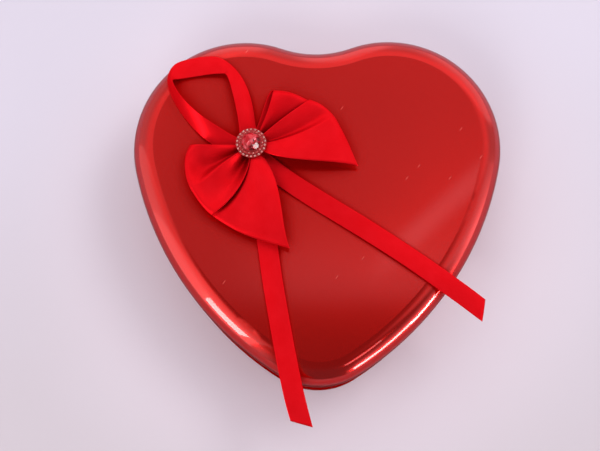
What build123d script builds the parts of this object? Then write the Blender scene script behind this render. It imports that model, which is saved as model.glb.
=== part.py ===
from build123d import *

import os
from math import atan2, cos, degrees, radians, sin, sqrt

# Heart-shaped slip-lid gift tin with a satin ribbon bow and a set stone glued on its lid.
# Millimetres, +Z up. The origin is on the resting face, in the middle of the heart's
# width and length. +Y points to the heart's notch, -Y to its tip.

# Heart outline, on the outside of the lid
HEART_WIDTH = 152.0
HEART_LENGTH = 144.0
LOBE_RADIUS = 46.0
NOTCH_RADIUS = 41.5
TIP_RADIUS = 30.0
FLANK_RADIUS = 131.0

# Tinplate
SHEET = 0.3
TIN_HEIGHT = 46.0
LID_DEPTH = 18.0
SHOULDER_RADIUS = 9.0
HEM_RADIUS = 0.8
LID_CLEARANCE = 0.25
SEAT_GAP = 0.15
NECK_HEIGHT = 13.0
RIM_RADIUS = 0.8
BEAD_DEPTH = 1.2
BEAD_FLAT = 0.8
FLANGE_WIDTH = 1.3
LIP_WIDTH = 1.0
SIDE_SEAM_WIDTH = 4.0
SIDE_SEAM_DEPTH = 0.6
SIDE_SEAM_END_GAP = 1.0

# Bow: its middle is placed from the centre of the left lobe
BOW_FROM_LOBE_X = 3.3
BOW_FROM_LOBE_Y = -2.3
BOW_TURN = 42.4
CLOTH = 0.3
GLUE_PAD_RADIUS = 4.5
GLUE_PAD_HEIGHT = 0.6
PINCH_WIDTH = 6.4
PINCH_HEIGHT = 3.0
TIE_WIDTH = 4.0
TIE_SHEET = 0.4
TIE_FIT = 0.1

# Wings of the bow: direction and reach of the short and the long edge, and how far the
# outer fold stands out from the line between their ends
RIGHT_SHORT_ANGLE = 72.7
RIGHT_SHORT_REACH = 24.8
RIGHT_LONG_ANGLE = -12.2
RIGHT_LONG_REACH = 43.6
RIGHT_BULGE = 8.5
LEFT_SHORT_ANGLE = 180.0
LEFT_SHORT_REACH = 25.3
LEFT_LONG_ANGLE = 290.0
LEFT_LONG_REACH = 45.3
LEFT_BULGE = 13.0
WING_HEIGHT = 6.5

# Shares of a wing's width where one pleat ends and the next begins
PLEATS = (0.0, 0.35, 0.6, 1.0)

# Sections of a wing: share of the way from the tie to its corners, then the height of
# its valleys and crests as shares of the wing's height
WING_OPENINGS = (
    (0.30, 0.40, 0.60),
    (0.65, 0.45, 0.85),
    (1.00, 0.60, 1.00),
)

# Sections of its outer fold: share of the bulge, shares of the width cut off at the short
# and the long end, then the underside's lift and the crests' height as shares of the height
WING_FOLDS = (
    (0.60, 0.06, 0.17, 0.10, 0.80),
    (1.00, 0.20, 0.36, 0.26, 0.34),
)
VALLEY_OF_FOLD = 0.65
VALLEY_OF_PINCH = 0.8

# Narrow ribbon
RIBBON_WIDTH = 8.0
TAIL_CUT_ANGLE = 26.0
TAIL_LEVEL_RUN = 16.0
TAIL_SETTLED_SHARE = 0.4
TAIL_DROOP = 2.0
TAIL_KINK_SHARE = 0.4
TAIL_KINK_DROOP = 0.6
TAIL_LIFT = 0.2
FRONT_TAIL_ANGLE = -80.0
FRONT_TAIL_OVERHANG = 16.6
RIGHT_TAIL_ANGLE = -36.2
RIGHT_TAIL_OVERHANG = 15.6
LOOP_FOLD_RADIUS = 0.8
LOOP_OUT_ANGLE = 106.0
LOOP_OUT_REACH = 36.3
LOOP_LEVEL_RUN = 9.0
LOOP_RISEN_REACH = 22.5
LOOP_TOP_ANGLE = 189.0
LOOP_TOP_REACH = 23.0
LOOP_BACK_ANGLE = -50.0
LOOP_BACK_SWING = 5.0
LOOP_LEAN = 56.0

# Way back of the loop: share of the way home and of the swing, the turn of its left edge,
# then its roll and rise as shares of the lean
LOOP_WAY_BACK = (
    (0.00, 0.20, 175, 0.60, 0.6),
    (0.03, 0.50, 200, 1.16, 1.0),
    (0.08, 0.65, 125, 1.40, 1.0),
    (0.14, 0.78, 78, 1.00, 1.0),
    (0.28, 1.00, 82, 1.00, 1.0),
    (0.52, 0.90, 92, 0.80, 0.85),
    (0.72, 0.55, 102, 0.40, 0.5),
)
LOOP_LANDING = (0.86, 0.25, 112)

# Set stone
GEM_RADIUS = 6.1
GEM_GLUE_RADIUS = 3.0
GEM_GLUE_HEIGHT = 0.8
SETTING_BASE_HEIGHT = 0.5
SETTING_STEP_HEIGHT = 0.7
SETTING_CUP_HEIGHT = 0.8
CUP_WALL = 0.25
STONE_RADIUS = 3.7
STONE_FIT = 0.05
STONE_HEIGHT = 2.6
STONE_GIRDLE = 0.8
STONE_TABLE_RADIUS = 2.1
STONE_FACETS = 8
GIRDLE_FACET_STEEPER = 12.0
GIRDLE_FACET_DROP = 0.15
HALO_STONE_GAP = 0.05
HALO_STONE_HEIGHT = 0.55
HALO_STONE_SIDES = 6
HALO_STONE_TAPER = 28.0
INNER_HALO_COUNT = 18
OUTER_HALO_COUNT = 22


def direction(angle):
    """Unit vector in plan at an angle in degrees from +X."""
    return Vector(cos(radians(angle)), sin(radians(angle)))


def bearing(start, end):
    """Plan angle in degrees of the line from start to end."""
    return degrees(atan2(end.Y - start.Y, end.X - start.X))


def mirrored(point):
    """The same point on the other half of the heart."""
    return Vector(-point.X, point.Y)


def flank_centre(lobe, tip):
    """Centre of the right flank's arc, which touches the lobe and the tip from outside."""
    to_tip = FLANK_RADIUS - TIP_RADIUS
    to_lobe = FLANK_RADIUS - LOBE_RADIUS
    span = lobe - tip
    along = (to_tip**2 - to_lobe**2 + span.length**2) / (2 * span.length)
    aside = sqrt(to_tip**2 - along**2)
    axis = span.normalized()
    return tip + axis * along + Vector(-axis.Y, axis.X) * aside


def heart_arcs():
    """The outline's tangent arcs: centre, radius, 1 or -1 for round or hollow, start, turn."""
    lobe = Vector(HEART_WIDTH / 2 - LOBE_RADIUS, HEART_LENGTH / 2 - LOBE_RADIUS)
    notch = Vector(0, lobe.Y + sqrt((LOBE_RADIUS + NOTCH_RADIUS) ** 2 - lobe.X**2))
    tip = Vector(0, TIP_RADIUS - HEART_LENGTH / 2)
    flank = flank_centre(lobe, tip)
    tip_end = bearing(flank, tip)
    flank_end = bearing(flank, lobe)
    lobe_end = bearing(lobe, notch)
    tip_turn = tip_end + 90
    flank_turn = flank_end - tip_end
    lobe_turn = lobe_end - flank_end
    notch_turn = 2 * (lobe_end - 90)
    return [
        (tip, TIP_RADIUS, 1, -90, tip_turn),
        (flank, FLANK_RADIUS, 1, tip_end, flank_turn),
        (lobe, LOBE_RADIUS, 1, flank_end, lobe_turn),
        (notch, NOTCH_RADIUS, -1, lobe_end + 180, -notch_turn),
        (mirrored(lobe), LOBE_RADIUS, 1, 180 - lobe_end, lobe_turn),
        (mirrored(flank), FLANK_RADIUS, 1, 180 - flank_end, flank_turn),
        (tip, TIP_RADIUS, 1, 180 - tip_end, tip_turn),
    ]


HEART_ARCS = heart_arcs()

# Places that follow from the sizes above
HEM_BOTTOM = TIN_HEIGHT - LID_DEPTH
HEM_CENTRE = HEM_BOTTOM + HEM_RADIUS
NECK_INSET = 2 * HEM_RADIUS + LID_CLEARANCE
RIM_TOP = HEM_BOTTOM + NECK_HEIGHT
BEAD_TOP = HEM_CENTRE + NECK_INSET - HEM_RADIUS - sqrt(2) * (HEM_RADIUS + SEAT_GAP)
BEAD_BOTTOM = BEAD_TOP - 2 * BEAD_DEPTH - BEAD_FLAT
SEAM_INSET = NECK_INSET - FLANGE_WIDTH - SHEET
BOW_CENTRE = Vector(
    LOBE_RADIUS - HEART_WIDTH / 2 + BOW_FROM_LOBE_X,
    HEART_LENGTH / 2 - LOBE_RADIUS + BOW_FROM_LOBE_Y,
)
TAILS_BOTTOM = TIN_HEIGHT + GLUE_PAD_HEIGHT
LOOP_START_Z = TAILS_BOTTOM + 2 * CLOTH
LOOP_END_Z = LOOP_START_Z + CLOTH
TIE_BOTTOM = LOOP_END_Z + CLOTH
PINCH_BOTTOM = TIE_BOTTOM + TIE_SHEET + TIE_FIT
TIE_TOP = PINCH_BOTTOM + PINCH_HEIGHT + TIE_FIT + TIE_SHEET
SETTING_BOTTOM = TIE_TOP + GEM_GLUE_HEIGHT
CUP_RADIUS = STONE_RADIUS + STONE_FIT + CUP_WALL
STEP_RADIUS = (GEM_RADIUS + CUP_RADIUS) / 2
STEP_BOTTOM = SETTING_BOTTOM + SETTING_BASE_HEIGHT
STONE_SEAT = STEP_BOTTOM + SETTING_STEP_HEIGHT


def heart_wire(inset=0.0):
    """The heart's outline, moved in by inset."""
    return Wire(
        [
            CenterArc(centre, radius - bulge * inset, start, turn)
            for centre, radius, bulge, start, turn in HEART_ARCS
        ]
    )


def heart_plate(inset, bottom, height):
    """A flat heart of that inset and height."""
    face = Face(heart_wire(inset))
    return extrude(Pos(0, 0, bottom) * face, amount=height, dir=(0, 0, 1))


def heart_ring(outer_inset, inner_inset, bottom, height):
    """A flat band along the outline, between two insets."""
    outer = heart_plate(outer_inset, bottom, height)
    return outer - heart_plate(inner_inset, bottom, height)


def along_heart(profile):
    """A profile of inset and height carried round the outline, arc by arc, as one solid."""
    pieces = []
    for centre, radius, bulge, start, turn in HEART_ARCS:

        def at(inset, height):
            return Vector(radius - bulge * inset, 0, height)

        piece = revolve(Face(Wire(profile(at))), Axis.Z, abs(turn))
        begin = min(start, start + turn)
        pieces.append(Pos(centre.X, centre.Y, 0) * Rot(0, 0, begin) * piece)
    return Part() + pieces


def curl_touch(radius):
    """How far from the level of its centre a closed curl meets the sheet it is rolled from."""
    return sqrt(radius**2 - (radius - SHEET) ** 2)


def lid_profile(at):
    """Section of the lid's edge: round shoulder, straight skirt and an inward curled hem."""
    slope = sqrt(0.5)
    shoulder_z = TIN_HEIGHT - SHOULDER_RADIUS
    inner = SHOULDER_RADIUS - SHEET
    hem_close = HEM_CENTRE + curl_touch(HEM_RADIUS)
    outer_mid = at(SHOULDER_RADIUS * (1 - slope), shoulder_z + SHOULDER_RADIUS * slope)
    inner_mid = at(SHOULDER_RADIUS - inner * slope, shoulder_z + inner * slope)
    hem_mid = at(HEM_RADIUS * (1 + slope), HEM_CENTRE - HEM_RADIUS * slope)
    panel_top = at(SHOULDER_RADIUS, TIN_HEIGHT)
    panel_bottom = at(SHOULDER_RADIUS, TIN_HEIGHT - SHEET)
    return [
        ThreePointArc(panel_top, outer_mid, at(0, shoulder_z)),
        Line(at(0, shoulder_z), at(0, HEM_CENTRE)),
        ThreePointArc(at(0, HEM_CENTRE), hem_mid, at(SHEET, hem_close)),
        Line(at(SHEET, hem_close), at(SHEET, shoulder_z)),
        ThreePointArc(at(SHEET, shoulder_z), inner_mid, panel_bottom),
        Line(panel_bottom, panel_top),
    ]


def make_lid_shell():
    """Drawn lid: a flat panel inside its shouldered edge."""
    panel = heart_plate(SHOULDER_RADIUS, TIN_HEIGHT - SHEET, SHEET)
    return along_heart(lid_profile) + panel


def wall_profile(at):
    """Section of the base's wall: bottom flange, bead that stops the lid, inward curled rim."""
    slope = sqrt(0.5)
    outside = NECK_INSET
    inside = NECK_INSET + SHEET
    flange_edge = NECK_INSET - FLANGE_WIDTH
    flange_top = 2 * SHEET
    rim_centre = RIM_TOP - RIM_RADIUS
    rim_close = rim_centre - curl_touch(RIM_RADIUS)
    rim_mid = at(outside + RIM_RADIUS * (1 + slope), rim_centre + RIM_RADIUS * slope)

    def bead(face):
        """Points of the bead on one face of the sheet, from its bottom to its top."""
        return [
            at(face, BEAD_BOTTOM),
            at(face - BEAD_DEPTH, BEAD_BOTTOM + BEAD_DEPTH),
            at(face - BEAD_DEPTH, BEAD_TOP - BEAD_DEPTH),
            at(face, BEAD_TOP),
        ]

    flange = [at(inside, SHEET), at(flange_edge, SHEET), at(flange_edge, flange_top)]
    outer = [*flange, at(outside, flange_top), *bead(outside), at(outside, rim_centre)]
    inner = [at(inside, rim_close), *reversed(bead(inside)), at(inside, SHEET)]
    return [
        *Polyline(outer).edges(),
        ThreePointArc(at(outside, rim_centre), rim_mid, at(inside, rim_close)),
        *Polyline(inner).edges(),
    ]


def make_base_wall():
    """Wall of the base, with its folded side seam inside the notch."""
    seam_bottom = 2 * SHEET + SIDE_SEAM_END_GAP
    seam_top = BEAD_BOTTOM - SIDE_SEAM_END_GAP
    seam_inset = NECK_INSET + SHEET + SIDE_SEAM_DEPTH
    seam_ring = heart_ring(NECK_INSET, seam_inset, seam_bottom, seam_top - seam_bottom)
    notch_side = Pos(0, HEART_LENGTH / 2, seam_bottom)
    seam = seam_ring & notch_side * Box(SIDE_SEAM_WIDTH, HEART_LENGTH / 2, 2 * seam_top)
    return along_heart(wall_profile) + seam


def make_base_floor():
    """Floor panel whose edge is turned up and hooked over the wall's flange."""
    panel = heart_plate(SEAM_INSET, 0, SHEET)
    upstand = heart_ring(SEAM_INSET, SEAM_INSET + SHEET, SHEET, 2 * SHEET)
    lip = heart_ring(SEAM_INSET, SEAM_INSET + SHEET + LIP_WIDTH, 2 * SHEET, SHEET)
    return panel + upstand + lip


def on_bow(height):
    """The middle of the bow at a height."""
    return Pos(BOW_CENTRE.X, BOW_CENTRE.Y, height)


def make_glue_pad():
    """Dot of glue that holds the ribbons to the lid."""
    middle = TIN_HEIGHT + GLUE_PAD_HEIGHT / 2
    return on_bow(middle) * Cylinder(GLUE_PAD_RADIUS, GLUE_PAD_HEIGHT)


def cloth_strip(crossings):
    """A ribbon through crossing lines, each a pair of points on its right and left edges."""
    middles = [(right + left) / 2 for right, left in crossings]
    sections = []
    for i, (right, left) in enumerate(crossings):
        run = middles[min(i + 1, len(middles) - 1)] - middles[max(i - 1, 0)]
        face_normal = run.cross(left - right).normalized() * CLOTH
        corners = [right, left, left + face_normal, right + face_normal]
        sections.append(Face(Wire.make_polygon(corners, close=True)))
    return loft(sections, ruled=True)


def crossing(place, height, angle, half=RIBBON_WIDTH / 2, roll=0.0):
    """Crossing line at a place in plan, its left end towards angle and rolled up from flat."""
    middle = Vector(place.X, place.Y, height)
    reach = direction(angle) * (half * cos(radians(roll)))
    reach += Vector(0, 0, half * sin(radians(roll)))
    return middle - reach, middle + reach


def lid_edge_reach(angle):
    """Distance from the middle of the bow to the lid's outline in that direction."""
    far = BOW_CENTRE + direction(angle) * (HEART_WIDTH + HEART_LENGTH)
    inside = Face(heart_wire()).intersect(Edge.make_line(BOW_CENTRE, far))
    return inside.edges().sort_by_distance(BOW_CENTRE)[0].length


def make_tail(angle, overhang, layer, cut_angle):
    """A ribbon tail from the middle of the bow over the lid's edge, cut on the slant."""
    start_z = TAILS_BOTTOM + layer * CLOTH
    rest_z = TIN_HEIGHT + TAIL_LIFT
    edge = lid_edge_reach(angle)
    bend = [
        (-GLUE_PAD_RADIUS, start_z),
        (TAIL_LEVEL_RUN, start_z),
        (TAIL_SETTLED_SHARE * edge, rest_z),
        (edge - SHOULDER_RADIUS / 2, rest_z),
        (edge + TAIL_KINK_SHARE * overhang, rest_z - TAIL_KINK_DROOP),
    ]
    lines = [
        crossing(BOW_CENTRE + direction(angle) * reach, height, angle + 90)
        for reach, height in bend
    ]
    end = BOW_CENTRE + direction(angle) * (edge + overhang)
    half_cut = RIBBON_WIDTH / 2 / cos(radians(cut_angle))
    lines.append(crossing(end, rest_z - TAIL_DROOP, angle + 90 + cut_angle, half_cut))
    return cloth_strip(lines)


def make_loop():
    """Ribbon loop: out from the bow, folded under, along the lid, then back leaning on edge."""
    low_z = TIN_HEIGHT + TAIL_LIFT + CLOTH
    high_z = low_z + 2 * LOOP_FOLD_RADIUS
    lean_rise = RIBBON_WIDTH / 2 * sin(radians(LOOP_LEAN))
    fold_angle = (LOOP_OUT_ANGLE + LOOP_TOP_ANGLE) / 2
    fold_half = RIBBON_WIDTH / 2 / sin(radians(fold_angle - LOOP_OUT_ANGLE))
    fold_out = direction(fold_angle - 90) * LOOP_FOLD_RADIUS
    out = direction(LOOP_OUT_ANGLE)
    top = direction(LOOP_TOP_ANGLE)
    corner = BOW_CENTRE + out * LOOP_OUT_REACH
    far = corner + top * LOOP_TOP_REACH
    home = BOW_CENTRE - far
    swing = Vector(home.Y, -home.X).normalized() * LOOP_BACK_SWING

    lines = [
        crossing(BOW_CENTRE - out * GLUE_PAD_RADIUS, LOOP_START_Z, LOOP_OUT_ANGLE + 90),
        crossing(BOW_CENTRE + out * LOOP_LEVEL_RUN, LOOP_START_Z, LOOP_OUT_ANGLE + 90),
        crossing(BOW_CENTRE + out * LOOP_RISEN_REACH, high_z, LOOP_OUT_ANGLE + 90),
        crossing(corner, high_z, fold_angle, fold_half),
        crossing(corner + fold_out, low_z + LOOP_FOLD_RADIUS, fold_angle, fold_half),
        crossing(corner, low_z, fold_angle, fold_half),
        crossing(corner + top * (LOOP_TOP_REACH / 2), low_z, LOOP_TOP_ANGLE - 90),
        crossing(far, low_z, LOOP_TOP_ANGLE - 90),
    ]
    for part, share, turn, roll, rise in LOOP_WAY_BACK:
        place = far + home * part + swing * share
        height = low_z + rise * lean_rise
        lines.append(crossing(place, height, LOOP_BACK_ANGLE + turn, roll=roll * LOOP_LEAN))
    part, share, turn = LOOP_LANDING
    landing = far + home * part + swing * share
    lines.append(crossing(landing, LOOP_END_Z, LOOP_BACK_ANGLE + turn))
    lines.append(crossing(BOW_CENTRE, LOOP_END_Z, LOOP_BACK_ANGLE + turn))
    return cloth_strip(lines)


def pleated_face(short_end, long_end, bottom, valley, crest):
    """Upright section of a wing: flat underside and one rounded pleat after another on top."""
    span = long_end - short_end

    def spot(part, height):
        place = short_end + span * part
        return Vector(place.X, place.Y, bottom + height)

    edges = [
        Line(spot(1, 0), spot(0, 0)),
        Line(spot(0, 0), spot(0, valley)),
    ]
    for start, end in zip(PLEATS[:-1], PLEATS[1:]):
        middle = spot((start + end) / 2, crest)
        edges.append(ThreePointArc(spot(start, valley), middle, spot(end, valley)))
    edges.append(Line(spot(1, valley), spot(1, 0)))
    return Face(Wire(edges))


def make_wing(short_angle, short_reach, long_angle, long_reach, bulge, side):
    """One wing of the bow: flat at the tie, opening in pleats to a rounded outer fold."""
    axis = direction(BOW_TURN) * side
    half_pinch = direction(BOW_TURN + 90) * (PINCH_WIDTH / 2)
    neck_end = axis * (TIE_WIDTH / 2 + TIE_FIT)
    neck_short = BOW_CENTRE + neck_end + half_pinch
    neck_long = BOW_CENTRE + neck_end - half_pinch
    short_corner = BOW_CENTRE + direction(short_angle) * short_reach
    long_corner = BOW_CENTRE + direction(long_angle) * long_reach
    edge = long_corner - short_corner
    outward = Vector(-edge.Y, edge.X).normalized() * (side * bulge)

    def pinch(shift):
        return pleated_face(
            BOW_CENTRE + shift + half_pinch,
            BOW_CENTRE + shift - half_pinch,
            PINCH_BOTTOM,
            VALLEY_OF_PINCH * PINCH_HEIGHT,
            PINCH_HEIGHT,
        )

    def opening(part, valley, crest):
        """Section part of the way from the tie to the wing's corners."""
        return pleated_face(
            neck_short + (short_corner - neck_short) * part,
            neck_long + (long_corner - neck_long) * part,
            PINCH_BOTTOM,
            valley * WING_HEIGHT,
            crest * WING_HEIGHT,
        )

    def fold(out, short_cut, long_cut, lift, crest):
        """Section of the rounded outer fold, narrower and thinner further out."""
        return pleated_face(
            short_corner + edge * short_cut + outward * out,
            long_corner - edge * long_cut + outward * out,
            PINCH_BOTTOM + lift * WING_HEIGHT,
            VALLEY_OF_FOLD * crest * WING_HEIGHT,
            crest * WING_HEIGHT,
        )

    sections = [pinch(neck_end)]
    sections += [opening(*row) for row in WING_OPENINGS]
    sections += [fold(*row) for row in WING_FOLDS]
    neck = extrude(pinch(Vector(0, 0, 0)), amount=neck_end.length, dir=axis)
    return neck + loft(sections, ruled=True)


def make_tie_band():
    """Flat band round the pinched middle of the bow."""
    height = TIE_TOP - TIE_BOTTOM
    depth = PINCH_WIDTH + 2 * (TIE_FIT + TIE_SHEET)
    outer = Box(TIE_WIDTH, depth, height)
    hole = Box(2 * TIE_WIDTH, depth - 2 * TIE_SHEET, height - 2 * TIE_SHEET)
    band = fillet(outer.edges().filter_by(Axis.X), TIE_SHEET) - hole
    return on_bow((TIE_TOP + TIE_BOTTOM) / 2) * Rot(0, 0, BOW_TURN) * band


def make_gem_glue():
    """Dot of glue under the setting."""
    middle = TIE_TOP + GEM_GLUE_HEIGHT / 2
    return on_bow(middle) * Cylinder(GEM_GLUE_RADIUS, GEM_GLUE_HEIGHT)


def make_gem_setting():
    """Turned setting: two steps for the small stones and a cup for the large one."""
    step_z = SETTING_BASE_HEIGHT + SETTING_STEP_HEIGHT
    rim_z = step_z + SETTING_CUP_HEIGHT
    chamfer = SETTING_BASE_HEIGHT / 2
    outline = Polyline(
        (0, 0),
        (GEM_RADIUS - chamfer, 0),
        (GEM_RADIUS, chamfer),
        (GEM_RADIUS, SETTING_BASE_HEIGHT),
        (STEP_RADIUS, SETTING_BASE_HEIGHT),
        (STEP_RADIUS, step_z),
        (CUP_RADIUS, step_z),
        (CUP_RADIUS, rim_z),
        (CUP_RADIUS - CUP_WALL, rim_z),
        (CUP_RADIUS - CUP_WALL, step_z),
        (0, step_z),
        close=True,
    )
    return on_bow(SETTING_BOTTOM) * revolve(Plane.XZ * make_face(outline), Axis.Z)


def make_centre_stone():
    """Faceted stone: a round girdle, then main and girdle facets cut by tilted planes."""
    upright = (Align.CENTER, Align.CENTER, Align.MIN)
    stone = Cylinder(STONE_RADIUS, STONE_HEIGHT, align=upright)
    crown = STONE_HEIGHT - STONE_GIRDLE
    main_slope = degrees(atan2(crown, STONE_RADIUS - STONE_TABLE_RADIUS))
    turn = 360 / STONE_FACETS
    rows = [
        (main_slope, 0, STONE_GIRDLE),
        (main_slope + GIRDLE_FACET_STEEPER, turn / 2, STONE_GIRDLE - GIRDLE_FACET_DROP),
    ]
    for slope, offset, edge_z in rows:
        for i in range(STONE_FACETS):
            out = direction(offset + i * turn)
            edge = out * STONE_RADIUS + Vector(0, 0, edge_z)
            normal = out * sin(radians(slope)) + Vector(0, 0, cos(radians(slope)))
            stone = split(stone, bisect_by=Plane(edge, z_dir=normal), keep=Keep.BOTTOM)
    return on_bow(STONE_SEAT) * stone


def halo_row(count, inner_radius, outer_radius, height, phase):
    """A ring of small stones, flat side down, that fills a step of the setting."""
    stone = extrude(
        RegularPolygon((outer_radius - inner_radius) / 2 - HALO_STONE_GAP, HALO_STONE_SIDES),
        amount=HALO_STONE_HEIGHT,
        taper=HALO_STONE_TAPER,
    )
    place = Pos((inner_radius + outer_radius) / 2, 0, 0)
    turn = 360 / count
    return [
        on_bow(height) * Rot(0, 0, (i + phase) * turn) * place * stone for i in range(count)
    ]


def make_halo_stones():
    """Two rings of small stones on the steps of the setting."""
    inner = halo_row(INNER_HALO_COUNT, CUP_RADIUS, STEP_RADIUS, STONE_SEAT, 0)
    outer = halo_row(OUTER_HALO_COUNT, STEP_RADIUS, GEM_RADIUS, STEP_BOTTOM, 0.5)
    return Compound(inner + outer)


PARTS = {
    "base_wall": make_base_wall(),
    "base_floor": make_base_floor(),
    "lid_shell": make_lid_shell(),
    "bow_glue_pad": make_glue_pad(),
    "ribbon_tail_front": make_tail(
        FRONT_TAIL_ANGLE, FRONT_TAIL_OVERHANG, 0, -TAIL_CUT_ANGLE
    ),
    "ribbon_tail_right": make_tail(
        RIGHT_TAIL_ANGLE, RIGHT_TAIL_OVERHANG, 1, TAIL_CUT_ANGLE
    ),
    "ribbon_loop": make_loop(),
    "bow_wing_left": make_wing(
        LEFT_SHORT_ANGLE, LEFT_SHORT_REACH, LEFT_LONG_ANGLE, LEFT_LONG_REACH, LEFT_BULGE, -1
    ),
    "bow_wing_right": make_wing(
        RIGHT_SHORT_ANGLE, RIGHT_SHORT_REACH, RIGHT_LONG_ANGLE, RIGHT_LONG_REACH, RIGHT_BULGE, 1
    ),
    "bow_tie_band": make_tie_band(),
    "gem_glue_dot": make_gem_glue(),
    "gem_setting": make_gem_setting(),
    "gem_centre_stone": make_centre_stone(),
    "gem_halo_stones": make_halo_stones(),
}

os.makedirs("parts", exist_ok=True)
for node, shape in PARTS.items():
    export_step(shape, f"parts/{node}.step")
    print(node, len(shape.solids()), round(shape.volume, 1))
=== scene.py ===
import math

import bmesh
import bpy
from mathutils import Matrix, Vector


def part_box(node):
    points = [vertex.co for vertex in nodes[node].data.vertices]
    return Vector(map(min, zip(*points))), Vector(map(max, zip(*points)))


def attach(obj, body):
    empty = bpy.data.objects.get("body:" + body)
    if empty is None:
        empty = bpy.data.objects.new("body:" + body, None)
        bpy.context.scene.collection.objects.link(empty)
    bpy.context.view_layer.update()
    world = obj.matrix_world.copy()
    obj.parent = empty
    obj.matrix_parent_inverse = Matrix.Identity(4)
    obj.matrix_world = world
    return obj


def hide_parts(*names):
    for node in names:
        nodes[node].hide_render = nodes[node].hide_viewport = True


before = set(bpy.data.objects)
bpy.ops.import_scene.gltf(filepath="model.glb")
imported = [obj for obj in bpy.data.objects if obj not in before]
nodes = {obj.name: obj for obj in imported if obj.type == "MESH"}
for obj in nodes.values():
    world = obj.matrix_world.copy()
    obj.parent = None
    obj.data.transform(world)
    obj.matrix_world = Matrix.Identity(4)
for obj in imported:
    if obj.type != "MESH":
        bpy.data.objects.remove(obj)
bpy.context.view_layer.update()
scene = bpy.context.scene
scene.view_settings.view_transform = "Standard"
mm = 0.001  # the frame is in metres
print("frame loaded with", len(nodes), "nodes")

lidTop = nodes["lid_shell"].bound_box[1][2]  # height of an upper corner
gemLow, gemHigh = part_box("gem_setting")
gemMiddle = (Vector(gemLow) + Vector(gemHigh)) / 2
bow = Vector((gemMiddle.x, gemMiddle.y, lidTop))  # on the lid, under the stone


# Shader nodes: a signal is a socket that takes part in Python expressions
class Signal:
    def __init__(self, board, socket):
        self.board = board
        self.socket = socket

    def math(self, operation, first, second):
        return self.board.node("Math", {"operation": operation}, {0: first, 1: second})

    def __add__(self, other):
        return self.math("ADD", self, other)

    def __radd__(self, other):
        return self.math("ADD", other, self)

    def __sub__(self, other):
        return self.math("SUBTRACT", self, other)

    def __rsub__(self, other):
        return self.math("SUBTRACT", other, self)

    def __mul__(self, other):
        return self.math("MULTIPLY", self, other)

    def __rmul__(self, other):
        return self.math("MULTIPLY", other, self)

    def __gt__(self, other):
        return self.math("GREATER_THAN", self, other)

    def __lt__(self, other):
        return self.math("LESS_THAN", self, other)

    def between(self, low, high):  # 0 at low, 1 at high, eased
        settings = {"interpolation_type": "SMOOTHSTEP"}
        return self.board.node("MapRange", settings, {0: self, 1: low, 2: high})


class Board:  # the nodes of one material, or of the world
    def __init__(self, owner):
        owner.use_nodes = True
        self.owner = owner
        self.tree = owner.node_tree
        self.tree.nodes.clear()

    def node(self, kind, settings=None, sockets=None, output=0):
        made = self.tree.nodes.new("ShaderNode" + kind)
        for key, value in (settings or {}).items():
            if key == "stops":
                while len(made.color_ramp.elements) < len(value):
                    made.color_ramp.elements.new(1.0)
                for element, (place, colour) in zip(made.color_ramp.elements, value):
                    element.position = place
                    element.color = colour
            else:
                setattr(made, key, value)
        for key, value in (sockets or {}).items():
            if isinstance(value, Signal):
                self.tree.links.new(value.socket, made.inputs[key])
            else:
                made.inputs[key].default_value = value
        return Signal(self, made.outputs[output])

    def place(self):  # in metres, from the object's origin
        return self.node("TexCoord", output=3)

    def facing(self):
        return self.node("TexCoord", output=1)

    def axis(self, vector, index):  # 0, 1 or 2 for x, y or z
        return self.node("SeparateXYZ", None, {0: vector}, index)

    def vector(self, operation, first, second=(0, 0, 0)):
        output = 1 if operation in ("DOT_PRODUCT", "LENGTH") else 0  # these two give a number
        return self.node("VectorMath", {"operation": operation}, {0: first, 1: second}, output)

    def noise(self, place, scale, detail):
        return self.node("TexNoise", None, {"Vector": place, "Scale": scale, "Detail": detail})

    def openness(self, reach, onlyLocal=False):  # 0 deep in a fold, 1 in the open
        settings = {"samples": 12, "only_local": onlyLocal}
        return self.node("AmbientOcclusion", settings, {"Distance": reach}, 1)

    def blend(self, factor, first, second):
        settings = {"data_type": "RGBA"}
        return self.node("Mix", settings, {0: factor, 6: first, 7: second}, output=2)

    def bump(self, height, distance, strength=1.0, normal=None):
        sockets = {"Height": height, "Distance": distance, "Strength": strength}
        if normal:
            sockets["Normal"] = normal
        return self.node("Bump", None, sockets)

    def finish(self, **sockets):
        named = {key.replace("_", " "): value for key, value in sockets.items()}
        shader = self.node("BsdfPrincipled", None, named)
        out = self.tree.nodes.new("ShaderNodeOutputMaterial")
        self.tree.links.new(shader.socket, out.inputs["Surface"])
        return self.owner


def srgb(red, green, blue):  # a colour as a paint program shows it
    def linear(value):
        value /= 255
        return value / 12.92 if value <= 0.04045 else ((value + 0.055) / 1.055) ** 2.4

    return (linear(red), linear(green), linear(blue), 1.0)


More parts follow.
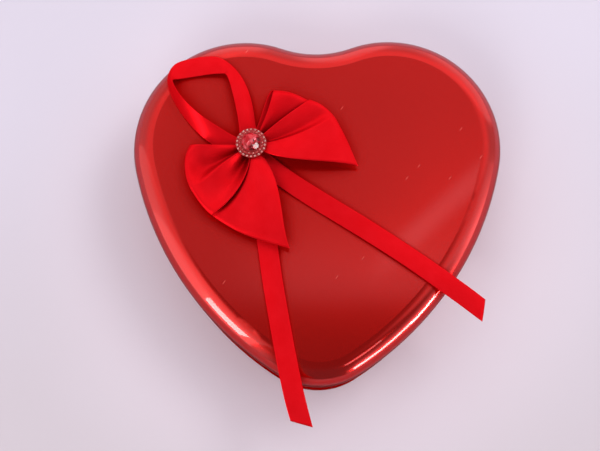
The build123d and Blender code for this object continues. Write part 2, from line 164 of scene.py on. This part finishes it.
lacquer = {
    "paint": srgb(203, 23, 17),
    "shade": srgb(196, 20, 14),
    "edge": srgb(140, 10, 9),  # painted shade on the skirt
    "bare": srgb(205, 202, 196),
    "lidMiddle": 16 * mm,  # below the lid's top, to tell the outside from the inside
    "baseMiddle": 20 * mm,  # above the table
    "lip": (0.45 * mm, 1.2 * mm),  # heights between which the bottom seam's top lies
    "lipUpward": 0.5,
    "metallic": 0.8,
    "roughness": 0.17,
    "bareRoughness": 0.24,
    "grainRoughness": 0.1,  # from one streak of the bare tin to the next
    "grainStretch": (400, 6000, 400),
    "skirtRoughness": 0.2,  # added on the skirt
    "coat": 0.4,
    "coatRoughness": 0.04,
    "edgeTint": (0.3, 0.04, 0.04, 1),
    "skirtFade": (0.0, 0.35),  # how far the sheet faces up, from the skirt to the shoulder
    "shoulderCoat": 0.6,  # added high on the shoulder
    "shoulderTop": (0.995, 0.9),
    "shoulderFoot": (0.45, 0.75),
    "hush": srgb(176, 8, 7),  # painted shade close under the bow, where little light gets in
    "hushReach": 20 * mm,
    "underBowShadeFade": (0.5, 0.95),
    "underBowShadeMetal": 0.25,  # share of the metallic look that stays there
    "waveSize": 35 * mm,
    "waveDepth": 0.10 * mm,
    "peelSize": 0.9 * mm,
    "peelDepth": 0.0015 * mm,
    "nick": srgb(214, 74, 66),
    "nickSpots": (
        (58.6, 31.1), (41.0, 15.6), (36.0, 10.6), (53.4, 10.5), (10.2, 40.4),
        (-28.9, 65.5), (66.3, 19.2), (17.6, -22.1), (7.1, -29.7), (-37.5, -31.4),
    ),
    "nickLength": 2.2 * mm,
    "nickWidth": 0.4 * mm,
    "nickTurn": -0.95,
    "nickFade": (0.6, 0.3),
    "nickRoughness": 0.2,
}


def lacquerMaterial(name, middleHeight):
    board = Board(bpy.data.materials.new(name))
    place = board.place()
    facing = board.facing()
    height = board.axis(place, 2)
    upward = board.axis(facing, 2)  # 0 on the skirt, 1 on the panel
    fromMiddle = board.vector("SUBTRACT", place, (0, 0, middleHeight))
    outside = board.vector("DOT_PRODUCT", facing, fromMiddle) > 0
    lipFoot, lipTop = lacquer["lip"]
    lip = (upward > lacquer["lipUpward"]) * (height > lipFoot) * (height < lipTop)
    painted = 1 - (1 - outside) * (1 - lip)  # the inside is bare tin

    tone = board.noise(place, 1 / lacquer["waveSize"], 3)
    paint = board.blend(tone, lacquer["paint"], lacquer["shade"])
    nickStretch = (1 / lacquer["nickLength"], 1 / lacquer["nickWidth"], 0)
    nicked = 0
    for x, y in lacquer["nickSpots"]:  # short scratches that the lid has picked up
        away = board.vector("SUBTRACT", place, (x * mm, y * mm, lidTop))
        sockets = {"Vector": away, "Angle": lacquer["nickTurn"]}
        away = board.node("VectorRotate", {"rotation_type": "Z_AXIS"}, sockets)
        reach = board.vector("LENGTH", board.vector("MULTIPLY", away, nickStretch))
        nicked = reach.between(*lacquer["nickFade"]) + nicked
    paint = board.blend(nicked, paint, lacquer["nick"])
    # painted shade: ambient occlusion darkens the paint near the bow and dulls its metallic look
    # there
    clear = board.openness(lacquer["hushReach"]).between(*lacquer["underBowShadeFade"])
    paint = board.blend(clear, lacquer["hush"], paint)
    level = upward.between(*lacquer["skirtFade"])
    # painted shade: the skirt is given a darker red
    paint = board.blend(level, lacquer["edge"], paint)
    colour = board.blend(painted, lacquer["bare"], paint)

    shine = lacquer["underBowShadeMetal"] + clear * (1 - lacquer["underBowShadeMetal"])
    metal = 1 - painted * (1 - lacquer["metallic"] * shine)
    grain = board.noise(board.vector("MULTIPLY", place, lacquer["grainStretch"]), 1, 3)
    rough = lacquer["bareRoughness"] + grain * lacquer["grainRoughness"]
    smoother = lacquer["roughness"] - lacquer["bareRoughness"] - lacquer["grainRoughness"] / 2
    rough = rough + painted * (smoother + (1 - level) * lacquer["skirtRoughness"])
    rounded = upward.between(*lacquer["shoulderTop"]) * upward.between(*lacquer["shoulderFoot"])
    coat = lacquer["coat"] + rounded * lacquer["shoulderCoat"]

    waves = board.noise(place, 1 / lacquer["waveSize"], 1)
    peel = board.noise(place, 1 / lacquer["peelSize"], 2)
    normal = board.bump(waves, lacquer["waveDepth"])
    normal = board.bump(peel, lacquer["peelDepth"], normal=normal)
    return board.finish(
        Base_Color=colour,
        Metallic=metal,
        Roughness=rough + nicked * lacquer["nickRoughness"],
        Specular_IOR_Level=0.0,
        Specular_Tint=lacquer["edgeTint"],
        Coat_Weight=painted * level * clear * coat,
        Coat_Roughness=lacquer["coatRoughness"],
        Normal=normal,
    )


satin = {
    "bright": srgb(235, 25, 36),
    "deep": srgb(216, 5, 12),
    # painted shade deep in the folds
    "fold": srgb(128, 0, 3),
    "foldReach": 9 * mm,
    "foldFade": (0.45, 1.0),
    "roughness": 0.38,
    "lustre": 0.35,
    "edgeTint": (0.8, 0.12, 0.14, 1),
    "threadAcross": 0.22 * mm,
    "threadAlong": 3.0 * mm,
    "threadDepth": 0.02 * mm,
    "threadBump": 0.5,
    "threadRoughness": 0.15,
    "creaseSize": 6 * mm,
    "creaseDepth": 0.12 * mm,
    "creaseBump": 0.4,
}


def satinMaterial(name):
    board = Board(bpy.data.materials.new(name))
    weave = board.node("UVMap", {"uv_map": "cloth"})
    threadStretch = (1 / satin["threadAcross"], 1 / satin["threadAlong"], 1)
    threads = board.noise(board.vector("MULTIPLY", weave, threadStretch), 1, 2)
    mottle = board.noise(board.place(), 1 / satin["creaseSize"], 2)
    colour = board.blend(threads * 0.5 + mottle * 0.5, satin["bright"], satin["deep"])
    # painted shade: ambient occlusion darkens the satin's colour in its folds
    openness = board.openness(satin["foldReach"], onlyLocal=True)
    colour = board.blend(openness.between(*satin["foldFade"]), satin["fold"], colour)
    normal = board.bump(mottle, satin["creaseDepth"], satin["creaseBump"])
    normal = board.bump(threads, satin["threadDepth"], satin["threadBump"], normal)
    return board.finish(
        Base_Color=colour,
        Roughness=satin["roughness"] + (threads - 0.5) * satin["threadRoughness"],
        Metallic=satin["lustre"],
        Specular_IOR_Level=0.0,
        Specular_Tint=satin["edgeTint"],
        Normal=normal,
    )


gem = {
    "red": srgb(214, 14, 34),
    "pinkHighlight": srgb(250, 118, 130),
    "maroonShade": srgb(104, 4, 16),
    "clear": srgb(255, 216, 204),
    "rose": srgb(250, 158, 150),
    "facet": 1.8 * mm,
    "smallFacet": 0.5 * mm,
    "tilt": 0.7,
    "shadeWay": (200, -150, 0),  # per metre, the way in which the painted shade darkens the red stone
    "shadeShare": 0.7,  # how much of its painted shade follows that way
    "lustre": 0.2,
    "roughness": 0.06,
    "facetRoughness": 0.06,
    "coat": 0.5,
    "rowEdge": 5.1 * mm,  # between the inner row of small stones and the outer one
}


# painted shade and highlight: the red stone darkens to maroon towards the right and front, with a
# pink painted highlight across its middle
def redPaint(board, chance, local):
    along = board.vector("DOT_PRODUCT", local, gem["shadeWay"])
    share = gem["shadeShare"]
    shade = chance * (1 - share) + (along * 0.5 + 0.5) * share
    stops = ((0.4, gem["red"]), (0.52, gem["pinkHighlight"]), (0.6, gem["red"]), (0.72, gem["maroonShade"]))
    return board.node("ValToRGB", {"stops": stops}, {0: shade})


def clearPaint(board, chance, local):  # the inner row is redder
    stops = ((0.2, gem["rose"]), (0.6, gem["clear"]))
    colour = board.node("ValToRGB", {"stops": stops}, {0: chance})
    outer = board.vector("LENGTH", board.vector("MULTIPLY", local, (1, 1, 0))) > gem["rowEdge"]
    return board.blend(outer, board.blend(chance, gem["red"], gem["rose"]), colour)


def stoneMaterial(name, facetSize, metallic, paint):
    board = Board(bpy.data.materials.new(name))
    place = board.place()
    cell = board.node("TexVoronoi", None, {"Vector": place, "Scale": 1 / facetSize}, 1)
    lean = board.vector("SUBTRACT", cell, (0.5, 0.5, 0.5))
    plane = board.vector("DOT_PRODUCT", lean, place)  # each facet leans its own way
    chance = board.node("SeparateColor", None, {0: cell})
    local = board.vector("SUBTRACT", place, gemMiddle)
    return board.finish(
        Base_Color=paint(board, chance, local),
        Metallic=metallic,
        Roughness=gem["roughness"] + chance * gem["facetRoughness"],
        Coat_Weight=gem["coat"],
        Normal=board.bump(plane, gem["tilt"]),
    )


setting = {
    "metal": srgb(172, 44, 44),
    "metallic": 0.5,
    "roughness": 0.3,
    "wearScale": 1500,
    "wearRoughness": 0.2,
    "wearDepth": 0.01 * mm,
    "wearBump": 0.4,
}


def settingMaterial(name):
    board = Board(bpy.data.materials.new(name))
    wear = board.noise(board.place(), setting["wearScale"], 3)
    return board.finish(
        Base_Color=setting["metal"],
        Metallic=setting["metallic"],
        Roughness=setting["roughness"] + wear * setting["wearRoughness"],
        Normal=board.bump(wear, setting["wearDepth"], setting["wearBump"]),
    )


glue = {
    "pale": srgb(236, 228, 214),
    "dull": srgb(214, 200, 180),
    "roughness": 0.3,
    "cloudScale": 700,
    "cloudRoughness": 0.2,
    "cloudDepth": 0.05 * mm,
    "cloudBump": 0.5,
}


def glueMaterial(name):
    board = Board(bpy.data.materials.new(name))
    cloud = board.noise(board.place(), glue["cloudScale"], 3)
    return board.finish(
        Base_Color=board.blend(cloud, glue["pale"], glue["dull"]),
        Roughness=glue["roughness"] + cloud * glue["cloudRoughness"],
        Normal=board.bump(cloud, glue["cloudDepth"], glue["cloudBump"]),
    )


def dress(node, material):
    for slot in nodes[node].material_slots:
        slot.material = material


dress("lid_shell", lacquerMaterial("lidLacquer", lidTop - lacquer["lidMiddle"]))
baseTin = lacquerMaterial("baseTin", lacquer["baseMiddle"])
dress("base_wall", baseTin)
dress("base_floor", baseTin)
clearGlue = glueMaterial("clearGlue")
dress("bow_glue_pad", clearGlue)
dress("gem_glue_dot", clearGlue)
dress("gem_setting", settingMaterial("settingMetal"))
dress("gem_centre_stone", stoneMaterial("redStone", gem["facet"], gem["lustre"], redPaint))
dress("gem_halo_stones", stoneMaterial("clearStones", gem["smallFacet"], 0, clearPaint))
satinRed = satinMaterial("satinRed")
print("frame pieces dressed")


# Cloth: a net of given rows, smoothed by subdivision and given its thickness
cloth = {
    "thickness": 0.28 * mm,
    "smoothing": 3,
}


def spot(x, y, z):  # millimetres from the middle of the bow, on the lid
    return bow + Vector((x, y, z)) * mm


def heading(degrees):  # level, turned from the way to the right
    return Vector((math.cos(math.radians(degrees)), math.sin(math.radians(degrees)), 0))


def hump(share):  # 0 at both ends, 1 halfway
    return 4 * share * (1 - share)


def earlyHump(share):  # 0 at both ends, 1 a third of the way
    return 6.75 * share * (1 - share) ** 2


def clothPiece(name, node, rows, size, creases=None, closed=False):
    net = bmesh.new()
    layer = net.loops.layers.uv.new("cloth")
    grid = [[net.verts.new(point) for point in row] for row in rows]
    lastRow = len(rows) if closed else len(rows) - 1
    lastColumn = len(rows[0]) - 1
    for i in range(lastRow):
        for j in range(lastColumn):
            k = (i + 1) % len(rows)
            face = net.faces.new((grid[i][j], grid[i][j + 1], grid[k][j + 1], grid[k][j]))
            face.smooth = True
            corners = ((i, j), (i, j + 1), (i + 1, j + 1), (i + 1, j))
            for loop, (row, column) in zip(face.loops, corners):
                loop[layer].uv = (size[0] * column / lastColumn, size[1] * row / lastRow)
    crease = net.edges.layers.float.new("crease_edge")
    for column, value in (creases or {}).items():
        for upper, lower in zip(grid, grid[1:]):
            net.edges.get((upper[column], lower[column]))[crease] = value
    net.normal_update()
    mesh = bpy.data.meshes.new(name)
    net.to_mesh(mesh)
    net.free()
    mesh.materials.append(satinRed)
    piece = bpy.data.objects.new(name, mesh)
    scene.collection.objects.link(piece)
    smooth = piece.modifiers.new("smooth", "SUBSURF")
    smooth.levels = smooth.render_levels = cloth["smoothing"]
    smooth.boundary_smooth = "PRESERVE_CORNERS"
    thick = piece.modifiers.new("thick", "SOLIDIFY")
    thick.thickness = cloth["thickness"]
    thick.offset = 0
    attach(piece, "lid")
    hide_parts(node)
    return piece


# Each wing: spokes from its short edge to its long one, with the place of the outer end, how far
# the spoke sways aside halfway and beside the tie, and heights above the lid on the way out
wingRings = (0.14, 0.32, 0.55, 0.78, 0.92, 1.0)
pinch = {
    "turn": 42.4,
    "half": 2.9,
    "low": 3.2,
    "high": 4.8,
    "out": 1.6,
}

leftWing = {
    "spokes": (
        (-24.0, -0.4, 0.2, 0.0, (4.4, 5.2, 6.0, 6.8, 6.9, 6.4)),
        (-26.0, -4.8, 0.0, 0.0, (4.8, 6.2, 6.6, 5.6, 6.9, 7.4)),
        (-26.1, -9.8, 0.0, 0.0, (4.4, 5.0, 4.6, 3.2, 5.8, 7.4)),
        (-25.2, -14.8, 0.0, 0.0, (3.4, 3.4, 3.2, 3.4, 6.0, 7.4)),
        (-23.6, -18.3, 0.0, 0.0, (6.0, 8.0, 8.2, 6.4, 6.4, 7.2)),
        (-20.0, -24.0, 0.6, 0.0, (5.0, 5.4, 6.0, 6.0, 5.6, 7.0)),
        (-16.9, -27.4, 1.8, 0.0, (1.7, 1.6, 4.2, 6.0, 6.2, 6.8)),
        (-15.1, -28.7, 4.8, 0.0, (5.8, 6.8, 7.2, 7.2, 7.0, 6.7)),
        (-14.6, -29.0, 3.4, 0.0, (3.0, 3.4, 4.2, 4.9, 5.2, 5.6)),
        (-11.4, -31.2, 2.6, 0.0, (5.2, 5.9, 6.2, 6.1, 5.9, 5.5)),
        (-6.8, -34.2, 1.8, 0.4, (5.8, 6.2, 5.9, 5.7, 5.5, 5.3)),
        (0.6, -37.6, 0.8, 1.4, (6.1, 7.0, 7.0, 6.6, 6.1, 5.6)),
        (9.4, -40.2, 0.4, 3.0, (5.6, 6.9, 7.3, 6.9, 6.3, 5.7)),
        (15.0, -42.0, 0.0, 4.6, (4.2, 5.8, 6.8, 6.8, 6.2, 5.4)),
    ),
    "creases": {4: 0.6, 7: 0.7, 8: 0.5},
    "side": -1,
    "bulge": 12.0,
    "rim": 1.1,
    "underShort": (-24.0, -0.6),
    "size": (57 * mm, 78 * mm),
    "area": 0.0025,  # of the fan that shows, without what the tie gathers
}
rightWing = {
    "spokes": (
        (8.8, 21.8, 1.3, 0.0, (5.0, 6.2, 6.9, 7.3, 7.3, 6.8)),
        (12.8, 21.7, 0.6, 0.0, (5.0, 6.2, 6.9, 7.4, 7.6, 7.3)),
        (17.8, 20.3, 0.2, 0.0, (4.4, 4.9, 5.2, 6.2, 7.2, 7.2)),
        (22.6, 17.6, 1.2, 0.0, (3.6, 4.2, 5.0, 6.0, 6.7, 6.8)),
        (23.4, 17.9, -0.2, 0.0, (5.4, 7.2, 8.2, 8.0, 7.6, 7.3)),
        (27.4, 16.6, 0.8, 0.0, (5.2, 6.6, 7.4, 7.3, 7.0, 6.9)),
        (31.2, 13.3, 2.4, 0.0, (3.8, 4.2, 4.5, 5.0, 5.9, 6.6)),
        (33.0, 11.0, 2.8, 0.0, (5.0, 6.6, 7.4, 7.6, 7.5, 7.0)),
        (35.4, 6.8, 2.4, 0.3, (5.6, 7.2, 7.8, 7.7, 7.2, 6.7)),
        (39.0, -1.0, 1.2, 1.8, (5.9, 7.9, 8.3, 7.6, 6.5, 5.5)),
        (42.2, -8.8, 0.4, 3.4, (5.2, 8.0, 8.4, 6.8, 5.2, 4.0)),
    ),
    "creases": {3: 0.5, 4: 0.7, 7: 0.6},
    "side": 1,
    "bulge": 7.0,
    "rim": 1.1,
    "underShort": (7.3, 24.4),
    "size": (57 * mm, 84 * mm),
    "area": 0.0019,
}
wingUnder = {
    "edge": 3.0,  # heights above the lid
    "middle": 2.25,
    "tie": 2.9,
    "inset": 0.95,  # shares of the way out from the tie
    "rows": (0.6, 0.3),
}


def makeWing(name, node, wing):
    spokes = wing["spokes"]
    columns = range(len(spokes))
    last = columns[-1]
    axis = heading(pinch["turn"]) * wing["side"]
    across = heading(pinch["turn"] + 90)
    shortEnd = Vector(wing["underShort"])
    longEnd = Vector(spokes[last][:2])
    edge = longEnd - shortEnd
    outward = Vector((edge.y, -edge.x)).normalized() * -wing["side"]

    def tie(j, height):
        place = axis * pinch["out"] + across * (pinch["half"] * (1 - 2 * j / last))
        return spot(place.x, place.y, height)

    def under(j, share, height):
        part = j / last
        place = (shortEnd + edge * part + outward * (wing["bulge"] * hump(part))) * share
        return spot(place.x, place.y, height)

    rows = [[tie(j, pinch["high"] if j % 2 else pinch["low"]) for j in columns]]
    for ring, share in enumerate(wingRings):
        row = []
        for x, y, sway, shoulder, heights in spokes:
            swing = sway * hump(share) + shoulder * earlyHump(share)
            aside = Vector((-y, x)).normalized() * (swing * -wing["side"])
            row.append(spot(x * share + aside.x, y * share + aside.y, heights[ring]))
        rows.append(row)
    rim = []
    for x, y, _, _, heights in spokes:
        out = Vector((x, y)).normalized() * wing["rim"]
        rim.append(spot(x + out.x, y + out.y, (heights[-1] + wingUnder["edge"]) / 2))
    rows.append(rim)
    rows.append([under(j, wingUnder["inset"], wingUnder["edge"]) for j in columns])
    for share in wingUnder["rows"]:
        rows.append([under(j, share, wingUnder["middle"]) for j in columns])
    rows.append([tie(j, wingUnder["tie"]) for j in columns])
    piece = clothPiece(name, node, rows, wing["size"], wing["creases"])


makeWing("bowWingLeft", "bow_wing_left", leftWing)
makeWing("bowWingRight", "bow_wing_right", rightWing)
print("wings made")


# Narrow ribbon: crossing lines from its right edge to its left one, with how far it cups
ribbon = {
    "width": 8 * mm,
    "kitWidth": 10 * mm,
    "columns": 5,
    "tailCup": 0.15,
}

loopRoute = {
    "lines": (
        ((3.9, -4.5, 1.25), (-3.8, -6.7, 1.25), 0.0),
        ((2.6, 2.6, 1.3), (-4.6, 1.3, 1.5), 0.1),
        ((1.4, 10.0, 1.6), (-5.0, 8.6, 3.4), 0.5),
        ((0.5, 17.3, 2.0), (-6.4, 16.6, 3.8), 0.6),
        ((-1.5, 24.4, 2.4), (-8.3, 24.4, 3.6), 0.5),
        ((-4.2, 29.8, 2.5), (-9.7, 29.0, 3.3), 0.4),
        ((-7.4, 33.9, 2.4), (-10.5, 30.7, 2.6), 0.3),
        ((-10.9, 36.9, 2.2), (-11.5, 31.0, 3.1), 0.2),
        ((-14.2, 38.7, 1.9), (-13.0, 31.0, 2.2), 0.2),
        ((-18.0, 39.0, 1.5), (-15.2, 31.1, 2.3), 0.2),
        ((-23.0, 38.6, 1.0), (-21.0, 30.6, 1.3), 0.2),
        ((-28.0, 37.6, 0.8), (-26.4, 29.7, 1.1), 0.1),
        ((-31.8, 36.2, 0.8), (-30.4, 28.9, 1.9), 0.0),
        ((-33.9, 33.4, 0.9), (-32.2, 28.0, 4.0), 0.0),
        ((-35.0, 29.4, 1.0), (-32.2, 26.6, 6.4), 0.1),
        ((-34.2, 24.4, 1.0), (-30.6, 22.8, 7.2), 0.3),
        ((-31.0, 17.6, 0.9), (-27.0, 17.9, 7.0), 0.5),
        ((-24.4, 8.4, 0.9), (-20.0, 11.6, 6.0), 0.5),
        ((-18.6, 2.9, 1.0), (-14.6, 8.6, 4.5), 0.4),
        ((-13.2, -0.6, 1.2), (-9.2, 5.2, 2.9), 0.2),
        ((-8.2, -3.4, 1.6), (-3.5, 2.6, 1.9), 0.0),
        ((-2.6, -7.4, 1.7), (2.0, -1.0, 1.75), 0.0),
    ),
    "length": 118 * mm,
    "held": "folded",
}


def makeRibbon(name, node, route):
    lines = [(spot(*right), spot(*left), cup) for right, left, cup in route["lines"]]
    middles = [(right + left) / 2 for right, left, _ in lines]
    rows = []
    for i, (right, left, cup) in enumerate(lines):
        run = middles[min(i + 1, len(lines) - 1)] - middles[max(i - 1, 0)]
        lift = run.cross(left - right).normalized() * (cup * mm)
        row = []
        for j in range(ribbon["columns"]):
            part = j / (ribbon["columns"] - 1)
            row.append(right.lerp(left, part) + lift * hump(part))
        rows.append(row)
    length = route["length"]
    piece = clothPiece(name, node, rows, (ribbon["width"], length))
    ribbon["width"] * length


makeRibbon("ribbonLoop", "ribbon_loop", loopRoute)


# A tail: reach from the bow, sideways shift, height above the lid and tilt in degrees
frontTail = {
    "angle": -80.0,
    "stations": (
        (-4.5, 0.0, 0.65, 0),
        (10.0, 0.0, 0.7, 0),
        (22.0, 0.0, 0.7, -2),
        (36.0, -0.4, 0.8, 4),
        (52.0, -1.3, 0.9, 6),
        (68.0, -1.4, 0.8, 2),
        (84.0, -1.4, 0.7, -4),
        (95.0, -1.2, 0.7, -6),
        (104.0, -0.8, 0.3, -6),
    ),
    "end": (112.1, 0.0, -0.8),
    "cut": -26.0,
    "length": 117 * mm,
}
rightTail = {
    "angle": -36.2,
    "stations": (
        (-4.5, -1.2, 0.95, 0),
        (10.0, -2.6, 1.0, 0),
        (20.0, -2.9, 1.0, 6),
        (34.0, -2.4, 1.3, 8),
        (50.0, -1.2, 1.4, 4),
        (66.0, -0.3, 1.2, -3),
        (82.0, 0.2, 1.0, -4),
        (97.0, 0.1, 0.8, 0),
        (105.0, 0.1, 0.2, 2),
    ),
    "end": (113.4, 0.0, -1.0),
    "cut": 26.0,
    "length": 118 * mm,
}


def makeTail(name, node, tail):
    half = ribbon["width"] / 2 / mm
    ahead = heading(tail["angle"])
    left = heading(tail["angle"] + 90)
    lines = []
    for reach, shift, height, tilt in tail["stations"]:
        middle = ahead * reach + left * shift + Vector((0, 0, height))
        side = left * (half * math.cos(math.radians(tilt)))
        side += Vector((0, 0, half * math.sin(math.radians(tilt))))
        lines.append((middle - side, middle + side, ribbon["tailCup"]))
    reach, shift, height = tail["end"]
    middle = ahead * reach + left * shift + Vector((0, 0, height))
    side = heading(tail["angle"] + 90 + tail["cut"]) * (half / math.cos(math.radians(tail["cut"])))
    lines.append((middle - side, middle + side, ribbon["tailCup"]))
    makeRibbon(name, node, {"lines": lines, "length": tail["length"], "held": "laid"})


makeTail("ribbonTailFront", "ribbon_tail_front", frontTail)
makeTail("ribbonTailRight", "ribbon_tail_right", rightTail)
print("ribbons made")


tieBand = {
    "depth": 3.75,  # from the middle to the side, in millimetres
    "low": 1.85,
    "high": 5.75,
    "half": 2.0,  # half the width
    "squareness": 0.5,  # 1 for an oval
    "points": 16,
    "columns": 5,
    "size": (4 * mm, 24 * mm),
}


def squared(value):
    return math.copysign(abs(value) ** tieBand["squareness"], value)


def makeTie():
    axis = heading(pinch["turn"])
    across = heading(pinch["turn"] + 90)
    middle = (tieBand["low"] + tieBand["high"]) / 2
    rise = (tieBand["high"] - tieBand["low"]) / 2
    rows = []
    for i in range(tieBand["points"]):
        angle = 2 * math.pi * i / tieBand["points"]
        aside = squared(math.cos(angle)) * tieBand["depth"]
        lift = squared(math.sin(angle)) * rise
        row = []
        for j in range(tieBand["columns"]):
            along = (2 * j / (tieBand["columns"] - 1) - 1) * tieBand["half"]
            place = across * aside + axis * along
            row.append(spot(place.x, place.y, middle + lift))
        rows.append(row)
    clothPiece("bowTie", "bow_tie_band", rows, tieBand["size"], closed=True)


makeTie()
print("bow tied")


paper = {
    "reach": 4.0,
    "colour": srgb(230, 223, 236),
    "shade": srgb(213, 203, 209),  # painted shade towards the front
    "shadeFade": (-0.14, 0.1),
    "driftScale": 6,
    "drift": 0.1,
    "paintedLight": srgb(242, 230, 240),  # painted light round the tin, where its shadow falls on the floor
    "paintedLightFade": (0.15, 0.05),
    "roughness": 0.75,
    "grainScale": 900,
    "grainDepth": 0.05 * mm,
    "grainBump": 0.3,
}


def makeFloor():
    mesh = bpy.data.meshes.new("floor")
    grid = bmesh.new()
    bmesh.ops.create_grid(grid, x_segments=8, y_segments=8, size=paper["reach"])
    grid.to_mesh(mesh)
    grid.free()
    floor = bpy.data.objects.new("floor", mesh)
    scene.collection.objects.link(floor)
    board = Board(bpy.data.materials.new("palePaper"))
    place = board.place()
    drift = (board.noise(place, paper["driftScale"], 3) - 0.5) * paper["drift"]
    # painted shade: the floor is darker towards the front
    lighter = (board.axis(place, 1) + drift).between(*paper["shadeFade"])
    colour = board.blend(lighter, paper["shade"], paper["colour"])
    # painted light: the floor is paler close round the tin, lifting its shadow
    near = board.vector("LENGTH", place).between(*paper["paintedLightFade"])
    grain = board.noise(place, paper["grainScale"], 2)
    material = board.finish(
        Base_Color=board.blend(near, colour, paper["paintedLight"]),
        Roughness=paper["roughness"],
        Specular_IOR_Level=0.0,
        Normal=board.bump(grain, paper["grainDepth"], paper["grainBump"]),
    )
    mesh.materials.append(material)


# The room's light: each patch has a strength and the steps that bound it, along the axes of the
# way looked in, or along two slanting ones
room = {
    "air": srgb(252, 248, 254),
    "overhead": 0.17,
    "slant": 0.85,  # of the streak
    "leftSlant": 0.4,
    "patches": {
        "streak": (1.6, (
            ("slant", 0.078, 0.098), ("slant", 0.122, 0.102), ("x", 0.06, 0.12), ("x", 0.24, 0.17),
        )),
        "ceiling": (0.425, (("y", 0.105, 0.16), ("z", 0.5, 0.85))),
        "ceilingRight": (0.15, (("y", 0.105, 0.16), ("z", 0.5, 0.85), ("x", -0.2, 0.2))),
        "brink": (0.55, (  # where the ceiling's light ends
            ("y", 0.12, 0.15), ("y", 0.22, 0.16), ("x", -0.1, 0.02), ("x", 0.3, 0.15),
        )),
        "back": (0.72, (("y", 0.40, 0.47), ("x", -0.5, -0.2))),
        "left": (0.6, (("left", 0.24, 0.36),)),
        "right": (0.45, (("x", 0.2, 0.5), ("y", -0.35, -0.15))),
        "rightFront": (0.45, (("x", 0.2, 0.5), ("y", -0.35, -0.15), ("y", 0.2, 0.02))),
        "rightFloor": (1.3, (("x", 0.4, 0.65), ("y", 0.1, -0.25), ("z", 0.7, 0.1))),
    },
}


def makeRoom():
    world = bpy.data.worlds.new("room")
    scene.world = world
    board = Board(world)
    way = board.node("TexCoord")
    x, y, z = (board.axis(way, index) for index in range(3))
    ways = {"x": x, "y": y, "z": z, "slant": y - x * room["slant"], "left": y * room["leftSlant"] - x}
    level = room["overhead"]
    for strength, steps in room["patches"].values():
        patch = strength
        for along, start, end in steps:
            patch = ways[along].between(start, end) * patch
        level = patch + level
    shader = board.node("Background", None, {"Color": room["air"], "Strength": level})
    out = board.tree.nodes.new("ShaderNodeOutputWorld")
    board.tree.links.new(shader.socket, out.inputs["Surface"])


# Lamps: place, target, size and power
mirrorLamps = {  # these show in the lacquer and light nothing else
    "leftPanel": ((-0.50, -0.20, 0.75), (0, -0.20, 0.75), (0.7, 1.45), 1.54),
    "leftFrontPanel": ((-0.51, -0.3, 1.0), (0, -0.3, 1.0), (0.5, 1.95), 1.4),
    "keyLight": ((-0.66, -0.50, 0.40), (0, 0, 0.04), (0.2, 0.4), 2.8),
    "frontStrip": ((0.38, -0.50, 0.69), (0, 0, 0.04), (0.2, 0.1), 0.16),
    "rightPanel": ((0.77, -0.46, 0.11), (0, 0, 0.11), (0.22, 0.17), 2.6),
    "rightStrip": ((0.60, -0.66, 0.16), (0, 0, 0.04), (0.34, 0.16), 2.6),
}
softLamps = {  # these light and don't show in the lacquer
    "topLight": ((0.42, 0.28, 0.76), (0, 0, 0.04), (0.3, 0.3), 1.4),
    "frontLight": ((-0.24, -0.58, 0.72), (0, 0, 0.04), (0.4, 0.4), 2.4),
}


def makeLamps(lamps, mirrored):
    for name, (place, target, size, power) in lamps.items():
        lamp = bpy.data.lights.new(name, "AREA")
        lamp.shape = "RECTANGLE"
        lamp.size, lamp.size_y = size
        lamp.energy = power
        light = bpy.data.objects.new(name, lamp)
        light.location = place
        light.rotation_euler = (Vector(target) - Vector(place)).to_track_quat("-Z", "Y").to_euler()
        light.visible_glossy = mirrored
        light.visible_diffuse = not mirrored
        light.visible_camera = False
        scene.collection.objects.link(light)


makeFloor()
makeRoom()
makeLamps(mirrorLamps, True)
makeLamps(softLamps, False)


view = {
    "target": Vector((-7.338, -6.820, 37.0)) * mm,
    "tilt": 12.0,  # from straight down
    "turn": -0.00679,
    "distance": 410 * mm,
    "focal": 1002.34,  # in pixels of the photograph
    "width": 600,
    "sensor": 36.0,
    "nearest": 10 * mm,
}


def makeCamera():
    lens = bpy.data.cameras.new("camera")
    lens.sensor_fit = "HORIZONTAL"
    lens.sensor_width = view["sensor"]
    lens.lens = view["focal"] * view["sensor"] / view["width"]
    lens.clip_start = view["nearest"]
    camera = bpy.data.objects.new("camera", lens)
    turn = Matrix.Rotation(view["turn"], 4, "Z")
    tilt = Matrix.Rotation(math.radians(view["tilt"]), 4, "X")
    back = Matrix.Translation((0, 0, view["distance"]))
    camera.matrix_world = Matrix.Translation(view["target"]) @ turn @ tilt @ back
    scene.collection.objects.link(camera)
    scene.camera = camera


makeCamera()
print("room lit, camera placed")
